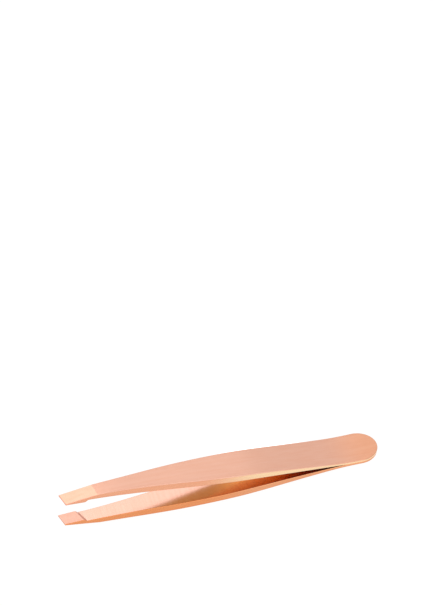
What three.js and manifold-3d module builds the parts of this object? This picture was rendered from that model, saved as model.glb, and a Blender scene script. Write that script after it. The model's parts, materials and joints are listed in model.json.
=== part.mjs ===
// Slant-tip tweezers: two sprung steel strips, welded flat against each other at a round tail and
// bowed apart towards a pair of ground, slanted jaws.
//
// Own frame of the tweezers, millimetres: X runs from the jaw tips (0) to the tail end (LENGTH),
// Y across the strips, Z away from the plane midway between them. The finished group is then pitched
// so that the flat belly of the lower strip lies level, as the tweezers do on a table.
import * as THREE from "three";
import { mergeVertices } from "three/addons/utils/BufferGeometryUtils.js";
import Module from "manifold-3d";

const wasm = await Module();
wasm.setup();

// Overall size
const LENGTH = 95.25;
const TAIL_WIDTH = 10.3;
const WAIST_WIDTH = 9.3;
const TIP_WIDTH = 3.8;
const TAIL_ROUND_LENGTH = 6;

// Where the strips change along their length
const WELD_FRONT_X = 84.5;
const LEAF_FRONT_X = 71;
const BELLY_BACK_X = 53;
const WAIST_X = 52;
const BELLY_FRONT_X = 36;
const BEVEL_BACK_X = 8.9;

// Side profile of the upper strip
const SEAM_HALF_GAP = 0.05;
const TAIL_THICKNESS = 0.8;
const BELLY_BACK_Z = 4.675;
const BELLY_FRONT_Z = 5.95;
const BEVEL_BACK_Z = 6.22;
const WAIST_INNER_Z = 2.31;
const JAW_INNER_Z = 4.69;
const JAW_INNER_X = 7;

// Jaw: a ground outer bevel, and an inner pad that stands proud of the relieved inner face
const TIP_SLANT = THREE.MathUtils.degToRad(15);
const PAD_SLANT = THREE.MathUtils.degToRad(24);
const TIP_INNER_Z = 4.3;
const TIP_EDGE_THICKNESS = 0.36;
const PAD_LENGTH = 5;
const PAD_RAMP = 0.75;

// How far each arm turns until its pad reaches the middle plane, about the middle of its thin leaf
const HINGE_X = 77.7;
const PAD_CLEARANCE = 0.06;
const CLOSING_ANGLE = Math.atan((TIP_INNER_Z - PAD_CLEARANCE) / HINGE_X);

// Weld nuggets, each a lens of fused steel that lies in both strips
const NUGGET_RADIUS = 1.5;
const NUGGET_HALF_HEIGHT = 0.45;
const NUGGET_CLEARANCE = 0.15;
const NUGGET_X = { front: 87.4, rear: 91.4 };

const SPLIT_GAP = 0.2;
const CURVE_STEPS = 14;
const NUGGET_STEPS = 6;
const NUGGET_SIDES = 16;
const BIG = 60;

const satinRoseGold = { color: 0xe6ac94, roughness: 0.38, metalness: 1 };
const fusedSteel = { color: 0x9a8a82, roughness: 0.55, metalness: 1 };

function solidFrom(geometry) {
  const bare = geometry.clone();
  bare.deleteAttribute("normal");
  bare.deleteAttribute("uv");
  const merged = mergeVertices(bare, 1e-4);
  return new wasm.Manifold(
    new wasm.Mesh({
      numProp: 3,
      vertProperties: new Float32Array(merged.attributes.position.array),
      triVerts: new Uint32Array(merged.index.array),
    }),
  );
}

// The solid as a faceted geometry, or its mirror image in the middle plane with the faces turned back out
function geometryFrom(solid, isMirrored = false) {
  const mesh = solid.getMesh();
  const corners = new Uint32Array(mesh.triVerts);
  const indexed = new THREE.BufferGeometry();
  indexed.setAttribute("position", new THREE.BufferAttribute(new Float32Array(mesh.vertProperties), 3));
  if (isMirrored) {
    indexed.scale(1, 1, -1);
    corners.reverse();
  }
  indexed.setIndex(new THREE.BufferAttribute(corners, 1));
  const faceted = indexed.toNonIndexed();
  faceted.computeVertexNormals();
  return faceted;
}

// Outline of a strip seen from above, extruded through the whole height
function planPrism() {
  const tipHalf = TIP_WIDTH / 2;
  const waistHalf = WAIST_WIDTH / 2;
  const tailHalf = TAIL_WIDTH / 2;
  const tailCentreX = LENGTH - TAIL_ROUND_LENGTH;
  const outline = new THREE.Shape();
  outline.moveTo(TIP_WIDTH * Math.tan(TIP_SLANT), -tipHalf);
  outline.lineTo(BEVEL_BACK_X, -tipHalf - 0.08);
  outline.bezierCurveTo(24, -2.4, 36, -4.3, WAIST_X, -waistHalf);
  outline.bezierCurveTo(64, -4.75, 76, -4.82, tailCentreX, -tailHalf);
  outline.absellipse(tailCentreX, 0, TAIL_ROUND_LENGTH, tailHalf, -Math.PI / 2, Math.PI / 2);
  outline.bezierCurveTo(76, 4.82, 64, 4.75, WAIST_X, waistHalf);
  outline.bezierCurveTo(36, 4.3, 24, 2.4, BEVEL_BACK_X, tipHalf + 0.08);
  outline.lineTo(0, tipHalf);
  outline.closePath();
  const prism = new THREE.ExtrudeGeometry(outline, {
    depth: BIG,
    bevelEnabled: false,
    curveSegments: CURVE_STEPS,
  });
  return solidFrom(prism.translate(0, 0, -BIG / 2));
}

// A side profile (X, Z) extruded across the strip, optionally leaning back by a slant across Y
function profilePrism(profile, slant = 0) {
  const prism = new THREE.ExtrudeGeometry(profile, {
    depth: BIG,
    bevelEnabled: false,
    curveSegments: CURVE_STEPS,
  });
  prism.rotateX(Math.PI / 2);
  prism.translate(0, BIG / 2, 0);
  prism.applyMatrix4(new THREE.Matrix4().makeShear(0, 0, -Math.tan(slant), 0, 0, 0));
  return solidFrom(prism);
}

// The upper strip from the side: thin and flat at the tail, swelling to a thick arm
function stripProfile() {
  const tailOuterZ = SEAM_HALF_GAP + TAIL_THICKNESS;
  const profile = new THREE.Shape();
  profile.moveTo(LENGTH + 1, SEAM_HALF_GAP);
  profile.lineTo(LENGTH + 1, tailOuterZ);
  profile.lineTo(WELD_FRONT_X, tailOuterZ);
  profile.bezierCurveTo(73, 1.9, 62, 4, BELLY_BACK_X, BELLY_BACK_Z);
  profile.lineTo(BELLY_FRONT_X, BELLY_FRONT_Z);
  profile.bezierCurveTo(28, 6.55, 17, 6.76, BEVEL_BACK_X, BEVEL_BACK_Z);
  profile.lineTo(-1, BEVEL_BACK_Z - 0.2);
  profile.lineTo(-1, JAW_INNER_Z + 0.18);
  profile.lineTo(JAW_INNER_X, JAW_INNER_Z);
  profile.bezierCurveTo(22, 4.22, 38, 3.36, WAIST_X, WAIST_INNER_Z);
  profile.bezierCurveTo(62, 1.56, 78, 0.35, WELD_FRONT_X, SEAM_HALF_GAP);
  profile.closePath();
  return profile;
}

// The pad's gripping face leans so that both pads lie flat on each other once the arms have closed
function padProfile() {
  const padRise = PAD_LENGTH * Math.tan(CLOSING_ANGLE);
  const profile = new THREE.Shape();
  profile.moveTo(-2, TIP_INNER_Z + 2 * Math.tan(CLOSING_ANGLE));
  profile.lineTo(PAD_LENGTH, TIP_INNER_Z - padRise);
  profile.lineTo(PAD_LENGTH + PAD_RAMP, JAW_INNER_Z + 0.1);
  profile.lineTo(-2, JAW_INNER_Z + 0.4);
  profile.closePath();
  return profile;
}

// A block whose underside is the plane of the ground outer bevel
function bevelCutter() {
  const tipOuterZ = TIP_INNER_Z + TIP_EDGE_THICKNESS;
  const fall = Math.atan((BEVEL_BACK_Z - tipOuterZ) / BEVEL_BACK_X);
  const block = new THREE.BoxGeometry(BIG, BIG, BIG);
  block.translate(0, 0, BIG / 2);
  block.rotateY(-fall);
  block.rotateZ(TIP_SLANT);
  block.translate(0, TIP_WIDTH / 2, tipOuterZ);
  return solidFrom(block);
}

// Everything between two places along the strip
function slab(fromX, toX) {
  const block = new THREE.BoxGeometry(toX - fromX, BIG, BIG);
  return solidFrom(block.translate((fromX + toX) / 2, 0, 0));
}

function lens(x, grow) {
  const radius = NUGGET_RADIUS + grow;
  const half = NUGGET_HALF_HEIGHT + grow;
  const edge = new THREE.EllipseCurve(0, 0, radius, half, -Math.PI / 2, Math.PI / 2);
  const profile = edge.getPoints(NUGGET_STEPS);
  profile[0].x = 0;
  profile[NUGGET_STEPS].x = 0;
  const nugget = new THREE.LatheGeometry(profile, NUGGET_SIDES);
  return nugget.rotateX(Math.PI / 2).translate(x, 0, 0);
}

function upperStrip() {
  const plan = planPrism();
  const blank = plan.intersect(profilePrism(stripProfile()));
  const pad = plan.intersect(profilePrism(padProfile(), PAD_SLANT));
  return blank.add(pad).subtract(bevelCutter());
}

const strip = upperStrip();
const pockets = Object.values(NUGGET_X).map((x) => solidFrom(lens(x, NUGGET_CLEARANCE)));
const upperPieces = {
  arm: strip.intersect(slab(-BIG, LEAF_FRONT_X - SPLIT_GAP / 2)),
  spring_leaf: strip.intersect(slab(LEAF_FRONT_X + SPLIT_GAP / 2, WELD_FRONT_X - SPLIT_GAP / 2)),
  tail: pockets.reduce(
    (tail, pocket) => tail.subtract(pocket),
    strip.intersect(slab(WELD_FRONT_X + SPLIT_GAP / 2, 2 * LENGTH)),
  ),
};

const tweezers = new THREE.Group();

function addPiece(name, geometry, finish) {
  const mesh = new THREE.Mesh(geometry, new THREE.MeshStandardMaterial(finish));
  mesh.name = name;
  tweezers.add(mesh);
}

// The lower strip is the upper one mirrored in the middle plane
for (const side of ["upper", "lower"]) {
  for (const [piece, solid] of Object.entries(upperPieces)) {
    addPiece(`${side}_${piece}`, geometryFrom(solid, side === "lower"), satinRoseGold);
  }
}

for (const [name, x] of Object.entries(NUGGET_X)) {
  addPiece(`${name}_weld_nugget`, geometryFrom(solidFrom(lens(x, 0))), fusedSteel);
}

// Level the belly, then put the origin under the middle of the whole object
const bellyFall = Math.atan((BELLY_FRONT_Z - BELLY_BACK_Z) / (BELLY_BACK_X - BELLY_FRONT_X));
tweezers.rotation.y = bellyFall;
tweezers.updateMatrixWorld(true);
const extent = new THREE.Box3().setFromObject(tweezers, true);
const middle = extent.getCenter(new THREE.Vector3());
tweezers.position.set(-middle.x, -middle.y, -extent.min.z);

export default tweezers;
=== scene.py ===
"""Slant tweezers: two continuous, round-edged rose-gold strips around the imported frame."""
import json
import math

import bmesh
import bpy
import numpy as np
from mathutils import Matrix, Vector


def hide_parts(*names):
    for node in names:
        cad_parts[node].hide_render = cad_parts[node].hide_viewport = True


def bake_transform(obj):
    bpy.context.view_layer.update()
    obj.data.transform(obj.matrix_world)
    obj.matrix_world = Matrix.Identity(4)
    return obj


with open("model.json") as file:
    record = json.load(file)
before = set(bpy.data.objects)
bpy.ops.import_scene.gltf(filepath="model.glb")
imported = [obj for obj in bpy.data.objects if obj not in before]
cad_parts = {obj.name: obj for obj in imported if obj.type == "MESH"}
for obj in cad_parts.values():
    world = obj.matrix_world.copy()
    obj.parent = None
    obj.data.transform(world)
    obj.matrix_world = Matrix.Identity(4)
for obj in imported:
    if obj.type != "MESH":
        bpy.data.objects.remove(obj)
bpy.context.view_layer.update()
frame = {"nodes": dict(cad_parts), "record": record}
MOUNTS = {m["name"]: m for m in frame["record"]["mounts"]}

# ---------------------------------------------------------------------------------------------
# Driving dimensions of one strip in the tweezers' own frame, in millimetres: X from the jaw tip
# to the tail, Y across, Z away from the plane midway between the strips.
# ---------------------------------------------------------------------------------------------
MM = 0.001
LENGTH = 95.25
TAIL_WIDTH = 10.3
WAIST_WIDTH = 9.3
TIP_WIDTH = 3.8
TAIL_ROUND_LENGTH = 6.0

WELD_FRONT_X = 84.5
BELLY_BACK_X = 53.0
WAIST_X = 52.0
BELLY_FRONT_X = 36.0
BEVEL_BACK_X = 8.9

# The welded tail plates touch. The CAD keeps them 0.1 mm apart, which would show daylight in the seam.
SEAM_HALF_GAP = 0.012
TAIL_OUTER_Z = 0.85
BELLY_BACK_Z = 4.675
BELLY_FRONT_Z = 5.95
BEVEL_BACK_Z = 6.22
WAIST_INNER_Z = 2.31
JAW_INNER_Z = 4.69
JAW_INNER_X = 7.0

TIP_SLANT = math.radians(15)
PAD_SLANT = math.radians(24)
TIP_INNER_Z = 4.3
TIP_OUTER_Z = 4.66
PAD_LENGTH = 5.0
PAD_RAMP = 0.75
PAD_RAMP_OVERRUN = 0.33
PAD_RAMP_RISE = JAW_INNER_Z + PAD_RAMP_OVERRUN - TIP_INNER_Z
CLOSING_ANGLE = math.radians(3.12)

# Rounding of the edges, crown of the outer face, and how far the bend at the weld is spread
OUTER_EDGE_RADIUS = 0.25
TAIL_EDGE_RADIUS = 0.2
BEVEL_EDGE_RADIUS = 0.1
INNER_EDGE_RADIUS = 0.14
CREASE_RADIUS = 0.06
TIP_ROUND = 0.08
CROWN = 0.035
WELD_BEND_REACH = 4.5
WELD_BEND_SHARES = np.linspace(-1, 1, 9)

ARC_STEPS = 6
RIB_STEPS = 26
WALL_STEPS = 4
JAW_STEP = 0.16
ARM_STEP = 0.75
FINE_JAW_LENGTH = 13
TAIL_TURN_STEP = 3


# ---------------------------------------------------------------------------------------------
# Profiles
# ---------------------------------------------------------------------------------------------
def bezier(start, first, second, end, steps=60):
    t = np.linspace(0, 1, steps)[:, None]
    a, b, c, d = (np.array(p, float) for p in (start, first, second, end))
    return (1 - t) ** 3 * a + 3 * (1 - t) ** 2 * t * b + 3 * (1 - t) * t ** 2 * c + t ** 3 * d


def joined(*runs):
    """Points of several runs in a row, without those that don't move on along X."""
    points = np.vstack(runs)
    keep = np.concatenate([[True], np.diff(points[:, 0]) > 1e-6])
    return points[keep]


TAIL_CENTRE_X = LENGTH - TAIL_ROUND_LENGTH

PLAN = joined(
    [(-3.0, TIP_WIDTH / 2 - 0.03)],
    bezier((BEVEL_BACK_X, TIP_WIDTH / 2 + 0.08), (24, 2.4), (36, 4.3), (WAIST_X, WAIST_WIDTH / 2)),
    bezier((WAIST_X, WAIST_WIDTH / 2), (64, 4.75), (76, 4.82), (TAIL_CENTRE_X, TAIL_WIDTH / 2)),
)
OUTER = joined(
    [(-3.0, BEVEL_BACK_Z - 0.25)],
    bezier((BEVEL_BACK_X, BEVEL_BACK_Z), (17, 6.76), (28, 6.55), (BELLY_FRONT_X, BELLY_FRONT_Z)),
    bezier((BELLY_BACK_X, BELLY_BACK_Z), (62, 4), (73, 1.9), (WELD_FRONT_X, TAIL_OUTER_Z)),
    [(LENGTH + 1, TAIL_OUTER_Z)],
)
INNER = joined(
    [(-3.0, JAW_INNER_Z + 0.22)],
    bezier((JAW_INNER_X, JAW_INNER_Z), (22, 4.22), (38, 3.36), (WAIST_X, WAIST_INNER_Z)),
    bezier((WAIST_X, WAIST_INNER_Z), (62, 1.56), (78, 0.35), (WELD_FRONT_X, SEAM_HALF_GAP)),
    [(LENGTH + 1, SEAM_HALF_GAP)],
)


def half_width(x):
    """Half the strip's width, drawn in to nothing round the tail."""
    x = np.asarray(x, float)
    inside = np.clip((x - TAIL_CENTRE_X) / TAIL_ROUND_LENGTH, 0, 1)
    return np.interp(x, PLAN[:, 0], PLAN[:, 1]) * np.sqrt(1 - inside ** 2)


def smooth_step(x, start, end):
    """0 before start, 1 after end, and a smooth rise between."""
    t = np.clip((np.asarray(x, float) - start) / (end - start), 0, 1)
    return t * t * (3 - 2 * t)


def soft_min(a, b, radius):
    """The lower of two heights, rounded where they cross."""
    gap = np.clip(radius - np.abs(a - b), 0, None)
    return np.minimum(a, b) - gap ** 2 / (4 * radius)


def outer_z(x, y):
    """Height of the strip's outer face, ground down to the bevel at the jaw."""
    reach = WELD_BEND_REACH * smooth_step(x, 62, 78)
    body = sum(np.interp(x + reach * share, OUTER[:, 0], OUTER[:, 1]) for share in WELD_BEND_SHARES)
    body = body / len(WELD_BEND_SHARES)
    body = body - CROWN * smooth_step(x, 8, 24) * (y / half_width(np.minimum(x, TAIL_CENTRE_X))) ** 2
    along = x * math.cos(TIP_SLANT) + (y - TIP_WIDTH / 2) * math.sin(TIP_SLANT)
    bevel = TIP_OUTER_Z + along * (BEVEL_BACK_Z - TIP_OUTER_Z) / BEVEL_BACK_X
    return soft_min(body, bevel, CREASE_RADIUS)


def inner_z(x, y):
    """Height of the strip's inner face, with the pad standing proud of it at the jaw."""
    relief = np.interp(x, INNER[:, 0], INNER[:, 1])
    along = x + (y - TIP_WIDTH / 2) * math.tan(PAD_SLANT)
    ramp = np.clip(along - PAD_LENGTH, 0, None) * PAD_RAMP_RISE / PAD_RAMP
    pad = TIP_INNER_Z - x * math.tan(CLOSING_ANGLE) + ramp
    return soft_min(relief, pad, CREASE_RADIUS)


# ---------------------------------------------------------------------------------------------
# One strip as a loft of closed sections
# ---------------------------------------------------------------------------------------------
def station_places():
    """Places of the sections along the strip, closer where the jaw's facets and the round tail are."""
    jaw = np.arange(0, FINE_JAW_LENGTH, JAW_STEP)
    arm = np.arange(FINE_JAW_LENGTH, TAIL_CENTRE_X, ARM_STEP)
    turn = np.radians(np.arange(0, 89, TAIL_TURN_STEP))
    return np.concatenate([jaw, arm, TAIL_CENTRE_X + TAIL_ROUND_LENGTH * np.sin(turn)])


def slant_at(x, at_tip, at_facet, facet_x):
    """Slant of a section: the tip's own at the tip, the facet's at the facet, none along the arm."""
    near_tip = at_tip + (at_facet - at_tip) * smooth_step(x, 1.5, facet_x - 1.5)
    return near_tip * (1 - smooth_step(x, facet_x + 3.5, facet_x + 20))


def rib_end(x, slant, side):
    """Where a section that leans by slant meets the outline on one side (-1 near, +1 far)."""
    tip_offset = TIP_WIDTH / 2 * math.tan(TIP_SLANT) * (1 - smooth_step(x, 0, 20))
    centre = x + tip_offset
    end = centre
    for _ in range(6):
        end = centre - side * half_width(end) * math.tan(slant)
    return np.array([end, side * half_width(end)])


def outline_normal(x, side):
    """Outward direction of the outline, seen from above."""
    step = 1e-3
    if x + step >= LENGTH:
        return np.array([1.0, 0.0])
    slope = (half_width(x + step) - half_width(x - step)) / (2 * step)
    normal = np.array([-slope, side])
    return normal / np.linalg.norm(normal)


def outer_radius(x):
    """Radius of the outer edges: crisp at the bevel, widest along the arm."""
    at_jaw = BEVEL_EDGE_RADIUS + (OUTER_EDGE_RADIUS - BEVEL_EDGE_RADIUS) * smooth_step(x, 9, 20)
    return at_jaw + (TAIL_EDGE_RADIUS - OUTER_EDGE_RADIUS) * smooth_step(x, 55, 80)


def face_rib(ends, normals, radius, height):
    """Points of one face across the strip, from the near rounding to the far one."""
    start, end = (point - normal * radius for point, normal in zip(ends, normals))
    share = np.concatenate([[0, 0.012], np.linspace(0.04, 0.96, RIB_STEPS - 4), [0.988, 1]])
    points = start + share[:, None] * (end - start)
    return np.column_stack([points, height(points[:, 0], points[:, 1])])


def rounding(end, normal, radius, height, away):
    """An edge's quarter round, from the face outwards. away is -1 on the outer face and +1 on the inner."""
    rows = []
    for angle in np.linspace(0, math.pi / 2, ARC_STEPS + 1)[1:]:
        point = end - normal * radius * (1 - math.sin(angle))
        z = float(height(point[0], point[1])) + away * radius * (1 - math.cos(angle))
        rows.append([point[0], point[1], z])
    return rows


def side_run(outer_end, inner_end, outer_normal, inner_normal, radii):
    """One whole side: outer rounding, wall and inner rounding, from top to bottom."""
    upper = rounding(outer_end, outer_normal, radii[0], outer_z, -1)
    lower = rounding(inner_end, inner_normal, radii[1], inner_z, 1)[::-1]
    top, bottom = np.array(upper[-1]), np.array(lower[0])
    share = [0.04] + list(np.linspace(0, 1, WALL_STEPS + 2)[1:-1]) + [0.96]
    wall = [list(top + s * (bottom - top)) for s in share]
    return upper + wall + lower


def section(x):
    """One closed section: outer face near to far, far side down, inner face far to near, near side up."""
    outer_slant = slant_at(x, TIP_SLANT, TIP_SLANT, BEVEL_BACK_X)
    inner_slant = slant_at(x, TIP_SLANT, PAD_SLANT, PAD_LENGTH)
    outer_ends = [rib_end(x, outer_slant, side) for side in (-1, 1)]
    inner_ends = [rib_end(x, inner_slant, side) for side in (-1, 1)]
    outer_normals = [outline_normal(end[0], side) for end, side in zip(outer_ends, (-1, 1))]
    inner_normals = [outline_normal(end[0], side) for end, side in zip(inner_ends, (-1, 1))]
    thickness = float(outer_z(x, 0.0) - inner_z(x, 0.0))
    radii = (min(outer_radius(x), 0.45 * thickness), min(INNER_EDGE_RADIUS, 0.35 * thickness))
    outer = face_rib(outer_ends, outer_normals, radii[0], outer_z)
    inner = face_rib(inner_ends, inner_normals, radii[1], inner_z)[::-1]
    near, far = (
        side_run(outer_ends[k], inner_ends[k], outer_normals[k], inner_normals[k], radii) for k in (0, 1)
    )
    return np.vstack([outer, far, inner, near[::-1]])


def tip_sections():
    """The jaw's end: sections that draw in round the tip edge, from the end face backwards."""
    rows = []
    for angle in np.radians([90, 60, 30]):
        ring = section(TIP_ROUND * (1 - math.sin(angle)))
        centre = ring.mean(axis=0)
        inset = TIP_ROUND * (1 - math.cos(angle))
        ring[:, 1] = centre[1] + (ring[:, 1] - centre[1]) * (1 - inset / (TIP_WIDTH / 2))
        ring[:, 2] = centre[2] + (ring[:, 2] - centre[2]) * (1 - inset / ((TIP_OUTER_Z - TIP_INNER_Z) / 2))
        rows.append(ring)
    return rows


def face_kind(column, centre, ring_size):
    """Which finish a face of the loft has, from its column in the section and its place."""
    side_size = (ring_size - 2 * RIB_STEPS) // 2
    if column < RIB_STEPS - 1 + ARC_STEPS or column >= ring_size - ARC_STEPS:
        along = centre[0] * math.cos(TIP_SLANT) + (centre[1] - TIP_WIDTH / 2) * math.sin(TIP_SLANT)
        return "bevel" if along < BEVEL_BACK_X else "outer"
    if RIB_STEPS + side_size <= column < 2 * RIB_STEPS + side_size - 1:
        along = centre[0] + (centre[1] - TIP_WIDTH / 2) * math.tan(PAD_SLANT)
        return "pad" if along < PAD_LENGTH + 0.3 * PAD_RAMP else "inner"
    return "edge"


# Place of the tweezers' own frame in the row frame
PITCH = math.asin(MOUNTS["tail_upper_face"]["axis"][0])
TO_ROW = Matrix.Rotation(PITCH, 4, "Y")
BELLY_OWN = Vector(((BELLY_FRONT_X + BELLY_BACK_X) / 2, 0, -(BELLY_FRONT_Z + BELLY_BACK_Z) / 2)) * MM
TO_ROW = Matrix.Translation(Vector(MOUNTS["belly_rest"]["pos_m"]) - TO_ROW @ BELLY_OWN) @ TO_ROW


def strip(name, across, materials):
    """The whole strip as one mesh. across is 1 for the upper strip and -1 for its mirror image."""
    rings = tip_sections() + [section(x) for x in station_places()[1:]] + [section(LENGTH)]
    size = len(rings[0])
    slots = list(materials)
    mesh = bmesh.new()
    own = mesh.verts.layers.float_vector.new("own_mm")
    rows = []
    for ring in rings:
        row = []
        for x, y, z in ring:
            vertex = mesh.verts.new(TO_ROW @ (Vector((x, y, across * z)) * MM))
            vertex[own] = (x, y, across * z)
            row.append(vertex)
        rows.append(row)
    for before, after, ring in zip(rows, rows[1:], rings):
        for column in range(size):
            following = (column + 1) % size
            face = mesh.faces.new((before[column], before[following], after[following], after[column]))
            face.material_index = slots.index(face_kind(column, ring[column], size))
    end = mesh.faces.new(rows[0])
    end.material_index = slots.index("bevel")
    bmesh.ops.remove_doubles(mesh, verts=mesh.verts, dist=1e-7)
    bmesh.ops.recalc_face_normals(mesh, faces=mesh.faces)
    data = bpy.data.meshes.new(name)
    mesh.to_mesh(data)
    mesh.free()
    data.shade_smooth()
    for material in materials.values():
        data.materials.append(material)
    piece = bpy.data.objects.new(name, data)
    bpy.context.scene.collection.objects.link(piece)
    return piece


# ---------------------------------------------------------------------------------------------
# Materials
# ---------------------------------------------------------------------------------------------
# Plating colours, each face with its own tint. The tints of the side walls and of the upper strip's inner
# face are painted light: painted shade and painted reflection standing in for the part of the studio each
# of these faces reflects.
SATIN_ROSE = (0.80, 0.445, 0.325, 1)
SATIN_TAIL = (0.77, 0.38, 0.235, 1)
GROUND_ROSE = (0.84, 0.40, 0.285, 1)
# The side-wall colours are painted light. The darker, more orange tone towards the jaw is painted shade.
# The upper strip's cream tail is a painted reflection of the bright table. The lower strip's darker orange
# copy is painted shade along its whole length.
UPPER_EDGE_PAINTED_SHADE = (0.83, 0.39, 0.23, 1)
UPPER_EDGE_PAINTED_REFLECTION = (0.93, 0.66, 0.40, 1)
LOWER_EDGE_PAINTED_SHADE = (0.80, 0.305, 0.12, 1)
LOWER_EDGE_TAIL_PAINTED_SHADE = (0.80, 0.36, 0.18, 1)
# The upper strip's inner face is a darker, more orange copy of the lower one. It is painted shade and
# painted reflection of the facing strip on the same polished finish.
UPPER_INNER_PAINTED_SHADE = (0.68, 0.43, 0.165, 1)
LOWER_INNER_ROSE = (0.725, 0.41, 0.315, 1)
PAD_ROSE = (0.73, 0.40, 0.305, 1)
WELD_STEEL = (0.42, 0.36, 0.33, 1)

# Streaks of tint along the strip, and across it
TINT_ALONG = (0.05, 1.3, 1.3)
TINT_ACROSS = (1.5, 0.12, 0.12)


def metal(name, colour, roughness, grain_scale, grain_depth, brushed=0.0, fade=None, tint_scale=TINT_ALONG):
    """Plated metal with a fine grain and a streaked tint, both scaled in lines per millimetre along
    X, Y and Z. brushed stretches the gloss across the strip. fade is another colour, and where along
    the strip the colour starts and ends turning into it. On the side walls this turn is painted light,
    from painted shade towards the jaw to painted reflection towards the tail."""
    material = bpy.data.materials.new(name)
    material.use_nodes = True
    nodes, links = material.node_tree.nodes, material.node_tree.links
    shader = nodes["Principled BSDF"]
    shader.inputs["Metallic"].default_value = 1.0
    if brushed:
        across = nodes.new("ShaderNodeCombineXYZ")
        across.inputs["Y"].default_value = 1.0
        links.new(across.outputs["Vector"], shader.inputs["Tangent"])
        shader.inputs["Anisotropic"].default_value = brushed
    place = nodes.new("ShaderNodeAttribute")
    place.attribute_name = "own_mm"

    def noise(scale, detail, seed):
        stretch = nodes.new("ShaderNodeMapping")
        stretch.inputs["Scale"].default_value = scale
        stretch.inputs["Location"].default_value = (seed, 0, 0)
        texture = nodes.new("ShaderNodeTexNoise")
        texture.inputs["Scale"].default_value = 1.0
        texture.inputs["Detail"].default_value = detail
        links.new(place.outputs["Vector"], stretch.inputs["Vector"])
        links.new(stretch.outputs["Vector"], texture.inputs["Vector"])
        return texture.outputs["Fac"]

    def ranged(value, low, high):
        span = nodes.new("ShaderNodeMapRange")
        span.inputs["From Min"].default_value = 0.25
        span.inputs["From Max"].default_value = 0.75
        span.inputs["To Min"].default_value = low
        span.inputs["To Max"].default_value = high
        links.new(value, span.inputs["Value"])
        return span.outputs["Result"]

    cloud = noise(tint_scale, 4, 5)
    grain = noise(grain_scale, 4, 11)

    tone = nodes.new("ShaderNodeMixRGB")
    tone.blend_type = "MULTIPLY"
    tone.inputs["Fac"].default_value = 1.0
    if fade:
        split = nodes.new("ShaderNodeSeparateXYZ")
        links.new(place.outputs["Vector"], split.inputs["Vector"])
        along = nodes.new("ShaderNodeMapRange")
        along.interpolation_type = "SMOOTHSTEP"
        along.inputs["From Min"].default_value = fade[1]
        along.inputs["From Max"].default_value = fade[2]
        links.new(split.outputs["X"], along.inputs["Value"])
        turn = nodes.new("ShaderNodeMixRGB")
        turn.inputs["Color1"].default_value = colour
        turn.inputs["Color2"].default_value = fade[0]
        links.new(along.outputs["Result"], turn.inputs["Fac"])
        links.new(turn.outputs["Color"], tone.inputs["Color1"])
    else:
        tone.inputs["Color1"].default_value = colour
    shade = nodes.new("ShaderNodeCombineColor")
    links.new(ranged(cloud, 0.97, 1.0), shade.inputs["Red"])
    links.new(ranged(cloud, 0.93, 1.03), shade.inputs["Green"])
    links.new(ranged(cloud, 0.91, 1.05), shade.inputs["Blue"])
    links.new(shade.outputs["Color"], tone.inputs["Color2"])
    links.new(tone.outputs["Color"], shader.inputs["Base Color"])

    links.new(ranged(grain, roughness * 0.85, roughness * 1.2), shader.inputs["Roughness"])

    bump = nodes.new("ShaderNodeBump")
    bump.inputs["Strength"].default_value = 1.0
    bump.inputs["Distance"].default_value = grain_depth * MM
    links.new(grain, bump.inputs["Height"])
    links.new(bump.outputs["Normal"], shader.inputs["Normal"])
    return material


FINISHES = {
    "outer": metal("satin_outer_face", SATIN_ROSE, 0.36, (0.5, 9, 9), 0.0012, 0.85, (SATIN_TAIL, 77, 93)),
    "bevel": metal("ground_bevel", GROUND_ROSE, 0.22, (6, 0.6, 6), 0.001),
    "pad": metal("gripping_pad", PAD_ROSE, 0.32, (8, 1, 8), 0.0015),
}
# Side-wall finishes whose colour turns along the strip from painted shade towards the jaw to painted
# reflection towards the tail.
EDGES = {
    side: metal(f"ground_{side}_edge_painted_light", front, 0.26, (0.6, 9, 9), 0.001, fade=(tail, 40, 59))
    for side, front, tail in (
        ("upper", UPPER_EDGE_PAINTED_SHADE, UPPER_EDGE_PAINTED_REFLECTION), ("lower", LOWER_EDGE_PAINTED_SHADE, LOWER_EDGE_TAIL_PAINTED_SHADE)
    )
}
# The upper copy carries painted shade and painted reflection in its colour.
INNERS = {
    side: metal(f"polished_{side}_inner_face", colour, 0.18, (7, 0.5, 0.5), 0.0006, tint_scale=TINT_ACROSS)
    for side, colour in (("upper", UPPER_INNER_PAINTED_SHADE), ("lower", LOWER_INNER_ROSE))
}
WELD = metal("weld_metal", WELD_STEEL, 0.5, (3, 3, 3), 0.004)

# ---------------------------------------------------------------------------------------------
# The strips, each bending in its thin leaf between the welded tail and its own arm
# ---------------------------------------------------------------------------------------------
for side, across in (("upper", 1), ("lower", -1)):
    piece = strip(f"{side}_strip", across, FINISHES | {"edge": EDGES[side], "inner": INNERS[side]})
    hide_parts(f"{side}_tail", f"{side}_spring_leaf", f"{side}_arm")
    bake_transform(piece)

for name in ("front_weld_nugget", "rear_weld_nugget"):
    for slot in frame["nodes"][name].material_slots:
        slot.material = WELD

# ---------------------------------------------------------------------------------------------
# Table, lights and camera
# ---------------------------------------------------------------------------------------------
TABLE_SIZE = 6
TABLE_CLEARANCE = 0.00005
TABLE_GLOW = 0.93
# Soft lamps under the table: place, spread and how much they add to its glow
TABLE_LAMPS = (
    ((0.05, -0.045, 0), (0.065, 0.045, 1), 0.62),
    ((0.0135, 0.0065, 0), (0.018, 0.01, 1), 1.7),
)


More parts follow.
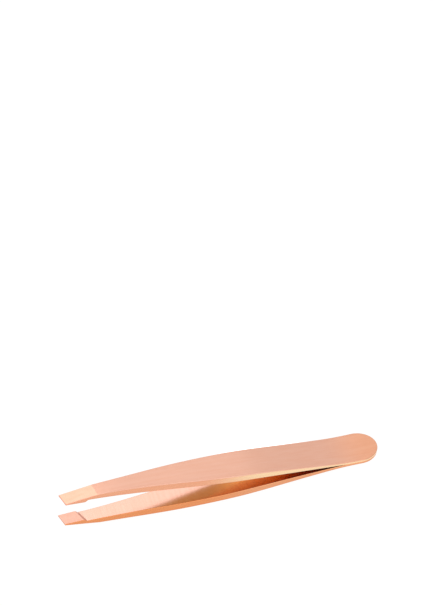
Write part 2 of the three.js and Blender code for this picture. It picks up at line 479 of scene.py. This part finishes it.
def glowing_white(name, diffuse, glow, lamps):
    """A translucent white sheet lit from behind, brighter over each soft lamp."""
    material = bpy.data.materials.new(name)
    material.use_nodes = True
    nodes, links = material.node_tree.nodes, material.node_tree.links
    shader = nodes["Principled BSDF"]
    shader.inputs["Base Color"].default_value = (diffuse, diffuse, diffuse, 1)
    shader.inputs["Roughness"].default_value = 0.9
    shader.inputs["Specular IOR Level"].default_value = 0.0
    shader.inputs["Emission Color"].default_value = (1, 1, 1, 1)
    place = nodes.new("ShaderNodeTexCoord")
    glow_so_far = None
    for where, spread, extra in lamps:
        lamp = nodes.new("ShaderNodeMapping")
        lamp.vector_type = "TEXTURE"
        lamp.inputs["Location"].default_value = where
        lamp.inputs["Scale"].default_value = spread
        links.new(place.outputs["Object"], lamp.inputs["Vector"])
        ball = nodes.new("ShaderNodeTexGradient")
        ball.gradient_type = "SPHERICAL"
        links.new(lamp.outputs["Vector"], ball.inputs["Vector"])
        soft = nodes.new("ShaderNodeMapRange")
        soft.interpolation_type = "SMOOTHSTEP"
        soft.inputs["To Max"].default_value = extra
        links.new(ball.outputs["Fac"], soft.inputs["Value"])
        total = nodes.new("ShaderNodeMath")
        total.inputs[0].default_value = glow
        if glow_so_far:
            links.new(glow_so_far, total.inputs[0])
        links.new(soft.outputs["Result"], total.inputs[1])
        glow_so_far = total.outputs["Value"]
    links.new(glow_so_far, shader.inputs["Emission Strength"])
    return material


bpy.ops.mesh.primitive_plane_add(size=TABLE_SIZE, location=(0, 0, -TABLE_CLEARANCE))
table = bpy.context.object
table.name = "light_table"
table.data.materials.append(glowing_white("white_acrylic", 0.1, TABLE_GLOW, TABLE_LAMPS))

world = bpy.data.worlds.new("studio")
bpy.context.scene.world = world
world.use_nodes = True
world.node_tree.nodes["Background"].inputs["Color"].default_value = (1, 1, 1, 1)
world.node_tree.nodes["Background"].inputs["Strength"].default_value = 1.0


def softbox(name, towards, distance, width, height, radiance):
    """A rectangular area light that faces the object from a direction."""
    light = bpy.data.lights.new(name, "AREA")
    light.shape = "RECTANGLE"
    light.size, light.size_y = width, height
    light.energy = radiance * math.pi * width * height
    holder = bpy.data.objects.new(name, light)
    direction = Vector(towards).normalized()
    holder.location = direction * distance
    holder.rotation_euler = direction.to_track_quat("Z", "Y").to_euler()
    bpy.context.scene.collection.objects.link(holder)


softbox("back_softbox", (-0.065, 0.58, 0.81), 1.5, 0.86, 0.6, 0.91)
softbox("back_strip", (0.36, 0.57, 0.74), 1.5, 0.16, 0.7, 0.93)
softbox("front_fill", (0.1, -0.75, 0.6), 1.5, 1.2, 0.8, 0.95)

CAMERA_DISTANCE = 0.6
CAMERA_AZIMUTH, CAMERA_ELEVATION = math.radians(-18.3), math.radians(51.8)
AIM_AZIMUTH, AIM_ELEVATION = math.radians(-18.15), math.radians(47.144)
OBJECT_MIDDLE = Vector((0, 0, 0.0065))


def outward(azimuth, elevation):
    """Direction from the object towards a place at this azimuth and elevation."""
    return Vector((
        math.sin(azimuth) * math.cos(elevation),
        -math.cos(azimuth) * math.cos(elevation),
        math.sin(elevation),
    ))


camera_data = bpy.data.cameras.new("camera")
camera_data.lens = 124.67
camera_data.sensor_width = 36
camera_data.sensor_fit = "AUTO"
camera_data.clip_start = 0.01
camera = bpy.data.objects.new("camera", camera_data)
camera.location = OBJECT_MIDDLE + outward(CAMERA_AZIMUTH, CAMERA_ELEVATION) * CAMERA_DISTANCE
camera.rotation_euler = outward(AIM_AZIMUTH, AIM_ELEVATION).to_track_quat("Z", "Y").to_euler()
bpy.context.scene.collection.objects.link(camera)
bpy.context.scene.camera = camera
bpy.context.scene.view_settings.view_transform = "Standard"
# Light reaches the deep end of the gap between the strips only after many reflections
bpy.context.scene.cycles.max_bounces = 24
bpy.context.scene.cycles.glossy_bounces = 24
